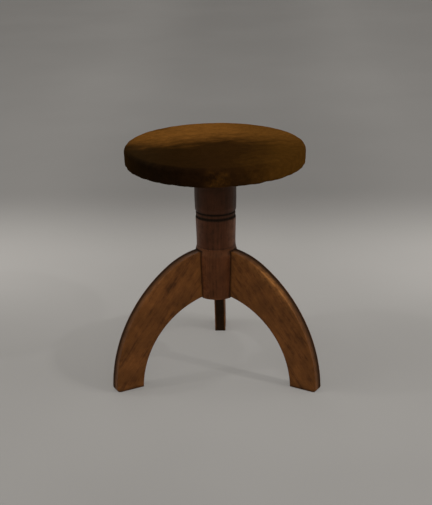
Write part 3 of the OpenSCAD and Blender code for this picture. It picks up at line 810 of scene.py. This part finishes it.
def plank_leg(side):
    """One arched leg, cut from a plank: its four long edges are eased by hand, worn pale by use and painted with a
    highlight near the crest.
    """
    leg = settings("leg")
    radial, lateral = leg_axes(LEG_ANGLES[side])
    inner, outer = leg_curves()
    points, wear_and_highlight, dark = [], [], []
    for row, (low, high) in enumerate(zip(map(Vector, inner), map(Vector, outer))):
        across, span = (high - low).normalized(), (high - low).length
        for along, sideways, worn_and_lit in leg_section(span):
            flat = low + across * along
            points.append(radial * flat.x + lateral * sideways + Vector((0, 0, flat.y)))
            outside = along > span * 0.5
            # Near the crest the outer arris, and a strip of face beside it, are painted paler: partly wear, partly a
            # painted highlight
            crest = math.exp(-((flat.y - WEAR_AND_HIGHLIGHT_HEIGHT) / WEAR_AND_HIGHLIGHT_SPREAD) ** 2) if outside else 0.0
            edge_share = EDGE_WEAR_AND_HIGHLIGHT[side] if sideways * HIGHLIGHT_FACE[side] > 0 else OTHER_FACE_SHARE
            beside = 0.6 if outside and span - along < 2 * MM + leg.arris else 0.0
            wear_and_highlight.append(edge_share * crest * (worn_and_lit or beside))
            # The sawn edges show end grain, which drinks more stain than the faces; beside the face that takes the
            # highlight the edge is painted nearer the face's own tone, as if its rounded corner caught the same light
            # as the face
            from_face = 0.5 - sideways * HIGHLIGHT_FACE[side] / (2 * LEG_HALF)
            rubbed = 0.0 if side == "back" else 0.9 - max(0.0, 2.2 * (from_face - 0.30))
            on_edge = worn_and_lit == 0.0 and abs(sideways) < LEG_HALF - 0.1 * MM
            sawn = leg.edge_stain * min(1.0, 1.0 - rubbed) if on_edge else 0.0
            sole, joint = 0.8 * max(0.0, 1 - flat.y / (6 * MM)), 0.85 if row == 0 else 0.0
            dark.append(min(1.0, max(sole, joint, sawn)))
    count = len(points) // len(inner)
    faces = quads(len(inner), count) + [tuple(range(count)), tuple(range(len(points) - count, len(points)))]
    made = mesh_object("leg_plank_" + side, points, faces, material("leg_" + side), 32.0)
    marks_of_wear_and_light(made, wear_and_highlight, dark)
    finished(made, "base", "leg_wood", "leg_" + side)


# Column

def collar_outline():
    """Section of the collar: rounded foot, slight taper, bore for the spindle and seat for its plate."""
    r, low, high = COLLAR_HIGH.x, COLLAR_LOW.z, COLLAR_HIGH.z
    bore, seat_r, seat_z = SPINDLE_HIGH.x + 0.05 * MM, PLATE_HIGH.x + 0.1 * MM, PLATE_LOW.z - 0.1 * MM
    foot_r, round_w, round_h = r - 0.6 * MM, 2.6 * MM, 5 * MM
    foot = [(foot_r - round_w + round_w * math.cos(t), low + round_h + round_h * math.sin(t))
            for t in np.radians(np.linspace(-90, 0, 9))]
    return ([(bore, low)] + foot + [(r - 0.2 * MM, low + 18 * MM), (r, low + 26 * MM), (r, high - 0.4 * MM),
            (r - 0.4 * MM, high), (seat_r, high), (seat_r, seat_z), (bore, seat_z)])


def pillar_outline():
    """Section of the pillar: round tenon, swelling shaft, groove, bead, and the seat of the nut."""
    wood = settings("wood")
    top, foot, shaft_z = PILLAR_HIGH.z, PILLAR_LOW.z, HUB_HIGH.z
    waist, swell, bead_h = wood.waist_radius, 1.2 * MM, wood.bead_height
    groove_h, round_h, bead_out = 2 * MM, 4 * MM, 0.7 * MM
    shaft_h = top - shaft_z - bead_h - groove_h - round_h
    fine = np.linspace(0, 1, 25)
    swellings = np.interp(fine, (0, 0.06, 0.16, 0.4, 0.62, 0.8, 1), (0.25, 0.06, 0, 0.17, 0.5, 0.8, 1))
    shaft = [(waist + swell * s, shaft_z + shaft_h * h) for h, s in zip(fine, swellings)]
    neck_r = waist - 0.1 * swell
    neck_z = top - bead_h - groove_h
    shoulder = [(neck_r + (waist + swell - neck_r) * math.cos(t), neck_z - round_h + round_h * math.sin(t))
                for t in np.radians(np.linspace(12, 90, 7))]
    bead = [(neck_r + bead_out * math.cos(t), top - bead_h / 2 + bead_h / 2 * math.sin(t))
            for t in np.radians(np.linspace(-90, 90, 15))]
    flange, body, well = NUT_HIGH.x + 0.05 * MM, 20.05 * MM, 18 * MM
    well_z, flange_z = foot + 13 * MM, top - 4 * MM
    return ([(0, foot), (TENON_R, foot), (TENON_R, shaft_z)] + shaft + shoulder + bead
            + [(flange, top), (flange, flange_z), (body, flange_z), (body, NUT_LOW.z), (well, NUT_LOW.z),
               (well, well_z), (0, well_z)])


def hub_outline():
    """Section of the hub: a cone that widens upwards to a coved top, bored for the tenon."""
    cove_w = HUB_TOP_R - settings("wood").waist_radius - 0.3 * MM
    bore = TENON_R + 0.05 * MM
    foot = [(HUB_FOOT_R - 1.4 * MM, HUB_LOW.z), (HUB_FOOT_R - 0.4 * MM, HUB_LOW.z + 0.4 * MM),
            (HUB_FOOT_R, HUB_LOW.z + 1.4 * MM)]
    cove = [(HUB_TOP_R - cove_w * (1 - t ** 1.3), HUB_HIGH.z - HUB_COVE * t) for t in np.linspace(1, 0, 9)]
    return [(bore, HUB_LOW.z)] + foot + cove + [(bore, HUB_HIGH.z)]


def housed(hub):
    """Cuts the three shallow housings that the legs are let into, a hair wider than the planks."""
    half = LEG_HALF + 0.25 * MM
    top_z, low_z, outer = BACK_LEG_HIGH.z + 0.2 * MM, HUB_LOW.z - 5 * MM, HUB_HIGH.x + 20 * MM
    shape = [(flat_reach(low_z), low_z), (outer, low_z), (outer, top_z), (flat_reach(top_z), top_z)]
    faces = [(0, 1, 2, 3), (7, 6, 5, 4)] + [(k, k + 4, (k + 1) % 4 + 4, (k + 1) % 4) for k in range(4)]
    cutters = []
    for side, angle in LEG_ANGLES.items():
        radial, lateral = leg_axes(angle)
        points = [radial * x + lateral * sideways + Vector((0, 0, z)) for sideways in (-half, half) for x, z in shape]
        cutters.append(mesh_object("housing_" + side, points, faces, material("hub")))
        modifier = hub.modifiers.new("housing_" + side, "BOOLEAN")
        modifier.operation = "DIFFERENCE"
        modifier.solver = "EXACT"
        modifier.object = cutters[-1]
    applied(hub)
    for cutter in cutters:
        bpy.data.objects.remove(cutter)
    return hub


def painted_highlight_side(place, side_angle, width):
    """How near a point lies to a side of the column where a highlight is painted, by its angle in degrees."""
    off = (math.degrees(math.atan2(place.y, place.x)) - side_angle + 180) % 360 - 180
    return near(off, 0, width)


def collar_wear(place):
    """Darker at the foot, under a lightly rubbed round."""
    above = place.z - COLLAR_LOW.z
    return 0.5 * near(above, 7 * MM, 4 * MM), 0.95 * max(0.0, 1 - above / (3 * MM))


def pillar_wear_and_highlight(place):
    """Darker in the grooves on either side of the bead, on the bead and at the foot; a little wear on the bead, and
    painted highlights down the left and right sides.
    """
    bead = settings("wood").bead_height
    below = PILLAR_HIGH.z - place.z
    groove = min(1.0, 1.6 * max(near(below, bead + 1.2 * MM, 4.2 * MM), max(0.0, 1 - below / (3.5 * MM))))
    foot = near(place.z, HUB_HIGH.z, 2.5 * MM)
    on_bead = 0.35 * near(below, bead / 2, bead / 2)
    # Painted highlights down the sides, where the column turns away to the left and right
    rubbed = max(0.85 * painted_highlight_side(place, -20, 42), 0.7 * painted_highlight_side(place, -158, 40))
    worn_and_lit = max(0.15 * near(below, bead / 2, 2 * MM), rubbed if below > bead + 4 * MM else 0.0)
    return worn_and_lit, 0.97 * max(groove, on_bead, 0.5 * foot)


def hub_wear_and_highlight(place):
    """Darker along the joints with the legs, a worn lower edge, and a painted highlight on the left side."""
    dark = 0.0
    for angle in LEG_ANGLES.values():
        radial, lateral = leg_axes(angle)
        if radial.dot(place) > 0 and place.z < BACK_LEG_HIGH.z + 1 * MM:
            dark = max(dark, min(1.0, 1.2 - (abs(lateral.dot(place)) - LEG_HALF) / (2.6 * MM)))
    worn_and_lit = max(0.5 * near(place.z, HUB_LOW.z + 1 * MM, 1.5 * MM), 0.5 * painted_highlight_side(place, -128, 32))
    return worn_and_lit, 0.85 * dark


# Small parts made with Geometry Nodes

def node_group(name, sizes):
    """A geometry tree with an output and named float inputs, and those inputs as outputs of its first node."""
    tree = bpy.data.node_groups.new(name, "GeometryNodeTree")
    tree.interface.new_socket("Geometry", in_out="OUTPUT", socket_type="NodeSocketGeometry")
    for label in sizes:
        tree.interface.new_socket(label, in_out="INPUT", socket_type="NodeSocketFloat")
    return tree, add(tree, "NodeGroupInput", out=slice(len(sizes)))


def grown(name, tree, geometry, sizes, finish):
    """Ends a tree with real geometry and its material, runs it with its sizes, and gives the result as plain mesh."""
    real = add(tree, "GeometryNodeRealizeInstances", [geometry])
    add(tree, "NodeGroupOutput", [add(tree, "GeometryNodeSetMaterial", {0: real, "Material": finish})])
    made = bpy.data.objects.new(name, bpy.data.meshes.new(name))
    bpy.context.scene.collection.objects.link(made)
    modifier = made.modifiers.new("grow", "NODES")
    modifier.node_group = tree
    for item in tree.interface.items_tree:
        if item.in_out == "INPUT":
            modifier[item.identifier] = float(sizes[item.name])
    smooth(applied(made), 40.0)
    return made


def ring_of_tacks(name, count, radius, height, finish):
    """Domed tacks round a ring, heads down, each set by hand a little off its mark."""
    sizes = {"Count": count, "Radius": radius, "Height": height, "Head radius": 3.4 * MM, "Head height": 1.1 * MM}
    tree, (tacks, ring_r, level, head_r, head_h) = node_group(name, sizes)
    head = add(tree, "GeometryNodeMeshUVSphere", {"Segments": 14, "Rings": 8, "Radius": 1.0})
    head = add(tree, "GeometryNodeTransform", {0: head, "Scale": add(tree, "CombineXYZ", (head_r, head_r, head_h))})
    whole = add(tree, "Math", [tacks], operation="ROUND")
    circle = add(tree, "GeometryNodeMeshCircle", {"Vertices": whole, "Radius": ring_r})
    jitter, tilt = (add(tree, "FunctionNodeRandomValue", {0: low, 1: high, "Seed": seed}, data_type="FLOAT_VECTOR")
                    for low, high, seed in (((-1.1 * MM, -1.1 * MM, -0.12 * MM), (1.1 * MM, 1.1 * MM, 0.12 * MM), 7),
                                            ((-0.12, -0.12, 0.0), (0.12, 0.12, 6.28), 11)))
    offset = add(tree, "VectorMath", (jitter, add(tree, "CombineXYZ", {2: level})), operation="ADD")
    placed = add(tree, "GeometryNodeSetPosition", {"Geometry": circle, "Offset": offset})
    spread = add(tree, "GeometryNodeInstanceOnPoints", {"Points": placed, "Instance": head, "Rotation": tilt})
    return grown(name, tree, spread, sizes, finish)


def threaded_length(name, low, high, finish):
    """The screw thread: a strip of its profile, bent round the spindle's axis and carried up by the lead."""
    screw = settings("screw")
    sizes = {"Turns": (high - low) / screw.lead + 1, "Lead": screw.lead, "Crest radius": SPINDLE_HIGH.x,
             "Depth": screw.thread_depth, "Bottom": low, "Top": high}
    tree, (turns, lead, crest, depth, bottom, top) = node_group(name, sizes)
    around = 40
    strip = add(tree, "GeometryNodeMeshGrid", {"Size X": 1.0, "Size Y": 1.0, "Vertices Y": 17,
                                               "Vertices X": int(sizes["Turns"] * around) + 1})
    axes = add(tree, "SeparateXYZ", [add(tree, "GeometryNodeInputPosition")], slice(2))
    along, across = (add(tree, "Math", (axis, 0.5), operation="ADD") for axis in axes)
    along = add(tree, "Math", (along, turns), operation="MULTIPLY")
    # The root takes three eighths of a lead and each flank one eighth
    twice = add(tree, "Math", (weighted(tree, (across, 2.0)), 1.0), operation="SUBTRACT")
    from_crest = add(tree, "Math", [twice], operation="ABSOLUTE")
    out = add(tree, "Math", (add(tree, "Math", (from_crest, 0.375), operation="SUBTRACT"), 0.25),
              operation="DIVIDE", use_clamp=True)
    root = add(tree, "Math", (crest, depth), operation="SUBTRACT")
    radius = add(tree, "Math", (root, weighted(tree, (out, depth))), operation="ADD")
    angle = weighted(tree, (along, 2 * math.pi))
    rise = add(tree, "Math", (add(tree, "Math", (along, 1.0), operation="SUBTRACT"), across), operation="ADD")
    height = add(tree, "Math", (bottom, weighted(tree, (rise, lead))), operation="ADD")
    for limit, operation in ((bottom, "MAXIMUM"), (top, "MINIMUM")):
        height = add(tree, "Math", (height, limit), operation=operation)
    x, y = (weighted(tree, (radius, add(tree, "Math", [angle], operation=operation)))
            for operation in ("COSINE", "SINE"))
    wound = add(tree, "CombineXYZ", (x, y, height))
    bent = add(tree, "GeometryNodeSetPosition", {"Geometry": strip, "Position": wound})
    joined = add(tree, "GeometryNodeMergeByDistance", {0: bent, "Distance": 0.01 * MM})
    return grown(name, tree, joined, sizes, finish)


# Stage

def paper_sweep():
    """A wide floor that curves up far behind the stool."""
    stage = settings("stage")
    bend, start, half_width, top = 1.5, 5.5, 16.0, 8.0
    profile = [(-20.0, 0.0), (-2.0, 0.0), (start - 0.1, 0.0), (start, 0.0)]
    profile += [(start + y, z + bend) for y, z in arc(0, 0, bend, -90, 0, 24)] + [(start + bend, top)]
    points = [(x, y, z) for y, z in profile for x in (-half_width, half_width)]
    faces = [(2 * i, 2 * i + 1, 2 * i + 3, 2 * i + 2) for i in range(len(profile) - 1)]
    paper, tree, place = new_material("paper_sweep")
    x, y = add(tree, "SeparateXYZ", [place], slice(2))
    aside = add(tree, "Math", [x], operation="ABSOLUTE")
    middle = add(tree, "VectorMath", [place], "Value", operation="LENGTH")
    # Painted light: the paper is brightest behind the stool, painted shade makes it darker far back and at the front,
    # and near the stool it is painted a little lighter, against its shadow
    shares = [add(tree, "MapRange", span, **SMOOTH) for span in (
        (y, -0.05, 0.60, 1.0, 1.24), (y, 0.62, 1.20, 1.0, 0.565), (y, 1.0, 4.0, 1.0, 1.22), (y, -0.9, -0.1, 0.92, 1.0),
        (middle, 0.12, 0.60, 1.05, 1.0))]
    # Behind the stool painted light makes it brighter at the sides, and farther back painted shade makes it darker
    for operation, beside, behind in (
            ("ADD", (aside, 0.15, 0.62, -0.05, 0.12), (y, 0.15, 0.55)),
            ("SUBTRACT", (aside, 0.2, 1.2, -0.02, 0.08), (y, 1.0, 2.5))):
        both = [add(tree, "MapRange", span, **SMOOTH) for span in (beside, behind)]
        shares.append(add(tree, "Math", (1.0, add(tree, "Math", both, operation="MULTIPLY")), operation=operation))
    paper_painted_light = 1.0
    for part in shares:
        paper_painted_light = add(tree, "Math", (part, paper_painted_light), operation="MULTIPLY")
    # Far out at the sides it is one plain tone
    out = add(tree, "MapRange", (aside, 1.0, 2.2), **SMOOTH)
    paper_painted_light = add(tree, "Mix", {0: out, 2: paper_painted_light, 3: 0.8}, 0)
    cloudy = add(tree, "TexNoise", {"Vector": place, "Scale": 2.0, "Detail": 2.0, "Roughness": 0.5})
    cloudy = add(tree, "MapRange", (cloudy, 0.3, 0.7, 0.98, 1.02), **SMOOTH)
    shade = stage.floor
    for spread in (paper_painted_light, cloudy):
        shade = add(tree, "Mix", {0: 1.0, 6: shade, 7: spread}, 2, **TINT)
    lit = add(tree, "BsdfPrincipled", {"Base Color": shade, "Roughness": 0.95, "Specular IOR Level": 0.1})
    # Where it is seen straight or in a gloss, the paper's own light softens the shadows on it
    glow = add(tree, "Emission", {"Color": shade, "Strength": 1.0})
    softened = weighted(tree, (seen(tree, "Is Transmission Ray"), stage.glow))
    add(tree, "OutputMaterial", {"Surface": add(tree, "MixShader", (softened, lit, glow))})
    mesh_object("paper_sweep", points, faces, paper, 60.0)


def seen(tree, *more):
    """One for a ray that shows something straight or in a gloss."""
    total = 0.0
    for name in ("Is Camera Ray", "Is Glossy Ray", *more):
        total = add(tree, "Math", (add(tree, "LightPath", out=name), total), operation="ADD", use_clamp=True)
    return total


def lamps():
    """Three small lamps, broad ones in front, behind and at both sides, and even light from all round."""
    stage = settings("stage")
    aim = Vector((0, 0, 0.25))
    boxes = (("right_box", stage.right_power, (1.25, -0.66, 1.5), 0.04),
             ("high_box", stage.high_power, (0.94, -0.38, 3.2), 0.08),
             ("left_box", stage.left_power, (-1.53, -0.37, 2.6), 0.07),
             ("front_box", stage.front_power, (0.2, -2.6, 1.4), 1.9),
             ("right_wall", stage.side_power, (2.2, -0.4, 1.2), 1.8),
             ("left_wall", stage.side_power, (-2.2, -0.4, 1.2), 1.8),
             ("back_wall", stage.back_power, (-0.3, 2.5, 1.7), 1.8))
    for name, power, place, size in boxes:
        lamp = bpy.data.lights.new(name, "AREA")
        lamp.energy = power
        lamp.size = size
        made = bpy.data.objects.new(name, lamp)
        made.location = place
        made.rotation_euler = (aim - Vector(place)).to_track_quat("-Z", "Y").to_euler()
        made.visible_camera = False
        bpy.context.scene.collection.objects.link(made)
    world = bpy.data.worlds.new("even_sky")
    world.use_nodes = True
    tree = world.node_tree
    tree.nodes.clear()
    # Seen straight or in a gloss, the sky is as dark as the far end of the paper, and of its tone
    shown, shown_sky = seen(tree), 0.22
    tone = add(tree, "Mix", {0: shown, 6: hex_colour("#f4f2ef"), 7: hex_colour("#f0e8dd")}, 2, **BLEND)
    strength = add(tree, "Mix", {0: shown, 2: stage.sky, 3: shown_sky}, 0)
    add(tree, "OutputWorld", {"Surface": add(tree, "Background", (tone, strength))})
    bpy.context.scene.world = world


def camera():
    """The camera of the photograph: a little above the seat, two metres off, and a shade out of level."""
    stage = settings("stage")
    azimuth, pitch, yaw, roll = math.radians(2.0), math.radians(20.33), math.radians(0.015), math.radians(-0.94)
    focal_px, height_px = 1166.5, 505
    place = Vector((math.sin(azimuth), -math.cos(azimuth), 0)) * stage.camera_distance
    place.z = stage.camera_height
    heading = azimuth + yaw
    right, ahead = Vector((math.cos(heading), math.sin(heading), 0)), Vector((-math.sin(heading), math.cos(heading), 0))
    forward = ahead * math.cos(pitch) - Vector((0, 0, math.sin(pitch)))
    up = right.cross(forward)
    level = right * math.cos(roll) + up * math.sin(roll)
    upright = up * math.cos(roll) - right * math.sin(roll)
    view = bpy.data.cameras.new("photograph_camera")
    view.sensor_width = 36.0
    view.lens = focal_px / height_px * view.sensor_width
    view.clip_start, view.clip_end = 0.05, 50.0
    made = bpy.data.objects.new("photograph_camera", view)
    made.matrix_world = Matrix.Translation(place) @ Matrix((level, upright, -forward)).transposed().to_4x4()
    bpy.context.scene.collection.objects.link(made)
    bpy.context.scene.camera = made


# Operators

class STOOL_OT_stage(bpy.types.Operator):
    """Floor, lamps and camera"""
    bl_idname = "stool.stage"
    bl_label = "Stage"
    bl_options = {"REGISTER", "UNDO"}

    def execute(self, context):
        paper_sweep()
        lamps()
        camera()
        return {"FINISHED"}


class STOOL_OT_upholstery(bpy.types.Operator):
    """Velvet cover over its stuffing"""
    bl_idname = "stool.upholstery"
    bl_label = "Velvet seat"
    bl_options = {"REGISTER", "UNDO"}

    def execute(self, context):
        seat = upholstery()
        finished(seat, "seat", "velvet", "seat_cover", "seat_padding")
        return {"FINISHED"}


class STOOL_OT_underside(bpy.types.Operator):
    """Dust cloth and both rings of tacks"""
    bl_idname = "stool.underside"
    bl_label = "Underside"
    bl_options = {"REGISTER", "UNDO"}

    def execute(self, context):
        seat = settings("seat")
        cloth = dust_cloth()
        finished(cloth, "seat", "dust_cloth", "dust_cloth")
        hem_ring = BOARD_HIGH.x - 7 * MM
        cloth_ring = (CLOTH_HIGH.x + BOARD_HIGH.x - seat.hem_width) / 2
        rings = (("hem_tack_ring", seat.hem_tacks, hem_ring, COVER_LOW.z, "hem_tacks"),
                 ("dust_cloth_tack_ring", seat.cloth_tacks, cloth_ring, CLOTH_LOW.z, "dust_cloth_tacks"))
        for name, count, radius, height, node in rings:
            finished(ring_of_tacks(name, count, radius, height, material("tack")), "seat", "tack_steel", node)
        return {"FINISHED"}


class STOOL_OT_column(bpy.types.Operator):
    """Turned collar, pillar and hub"""
    bl_idname = "stool.column"
    bl_label = "Column"
    bl_options = {"REGISTER", "UNDO"}

    def execute(self, context):
        for name, outline, finish, marks_at, body in (
                ("collar", collar_outline(), "collar", collar_wear, "seat"),
                ("pillar", pillar_outline(), "column", pillar_wear_and_highlight, "base")):
            made = turned("turned_" + name, refined(with_tight_corners(outline)), material(finish))
            finished(marked(made, marks_at), body, "column_wood", name)
        hub = marked(housed(turned("turned_hub", refined(hub_outline()), material("hub"))), hub_wear_and_highlight)
        smooth(hub, 32.0)
        finished(hub, "base", "hub_wood", "hub")
        return {"FINISHED"}


class STOOL_OT_legs(bpy.types.Operator):
    """Three arched plank legs"""
    bl_idname = "stool.legs"
    bl_label = "Legs"
    bl_options = {"REGISTER", "UNDO"}

    def execute(self, context):
        for side in LEG_ANGLES:
            plank_leg(side)
        return {"FINISHED"}


class STOOL_OT_screw(bpy.types.Operator):
    """Thread and shank of the screw spindle"""
    bl_idname = "stool.screw"
    bl_label = "Screw"
    bl_options = {"REGISTER", "UNDO"}

    def execute(self, context):
        thread = threaded_length("spindle_thread", SPINDLE_LOW.z, COLLAR_LOW.z + 1 * MM, material("spindle"))
        finished(thread, "seat", "spindle_steel")
        shank_r, rivet = SPINDLE_HIGH.x, 9 * MM
        core = shank_r - settings("screw").thread_depth - 0.05 * MM
        outline = [(0, SPINDLE_LOW.z), (core, SPINDLE_LOW.z), (core, COLLAR_LOW.z), (shank_r, COLLAR_LOW.z),
                   (shank_r, PLATE_LOW.z), (rivet, PLATE_LOW.z), (rivet, PLATE_HIGH.z), (0, PLATE_HIGH.z)]
        shank = turned("spindle_shank", outline, material("spindle"), steps=72)
        finished(shank, "seat", "spindle_steel", "spindle")
        return {"FINISHED"}


class STOOL_OT_carried_nodes(bpy.types.Operator):
    """Finishes of the CAD nodes that stay as they are"""
    bl_idname = "stool.carried_nodes"
    bl_label = "Inner parts"
    bl_options = {"REGISTER", "UNDO"}

    def execute(self, context):
        groups = {"board": ("seat_board",), "iron": ("spindle_plate", "spindle_nut"), "dowel": ("leg_dowels",),
                  "screw": ("collar_screws", "plate_screws", "end_bolt", "stop_washer", "nut_screws")}
        for finish, names in groups.items():
            for name in names:
                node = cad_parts[name]
                node.data.materials.clear()
                node.data.materials.append(material(finish))
        return {"FINISHED"}


OPERATORS = (STOOL_OT_stage, STOOL_OT_upholstery, STOOL_OT_underside, STOOL_OT_column, STOOL_OT_legs,
             STOOL_OT_screw, STOOL_OT_carried_nodes)


class STOOL_PT_panel(bpy.types.Panel):
    """Lists the stool's pieces in the sidebar"""
    bl_idname = "STOOL_PT_panel"
    bl_label = "Piano Stool"
    bl_space_type = "VIEW_3D"
    bl_region_type = "UI"
    bl_category = "Piano Stool"

    def draw(self, context):
        for operator in OPERATORS:
            self.layout.operator(operator.bl_idname)
        for name, group in SETTINGS.items():
            box = self.layout.box()
            for prop in group.__annotations__:
                box.prop(settings(name), prop)


CLASSES = (*SETTINGS.values(), *OPERATORS, STOOL_PT_panel)


def register():
    for group in CLASSES:
        bpy.utils.register_class(group)
    for name, group in SETTINGS.items():
        setattr(bpy.types.Scene, "stool_" + name, PointerProperty(type=group))


def unregister():
    for name in SETTINGS:
        delattr(bpy.types.Scene, "stool_" + name)
    for group in reversed(CLASSES):
        bpy.utils.unregister_class(group)


def main():
    register()
    bpy.context.scene.view_settings.view_transform = "Standard"
    bpy.ops.stool.stage()
    bpy.ops.stool.upholstery()
    bpy.ops.stool.underside()
    bpy.ops.stool.column()
    bpy.ops.stool.legs()
    bpy.ops.stool.screw()
    bpy.ops.stool.carried_nodes()


if __name__ == "__main__":
    main()
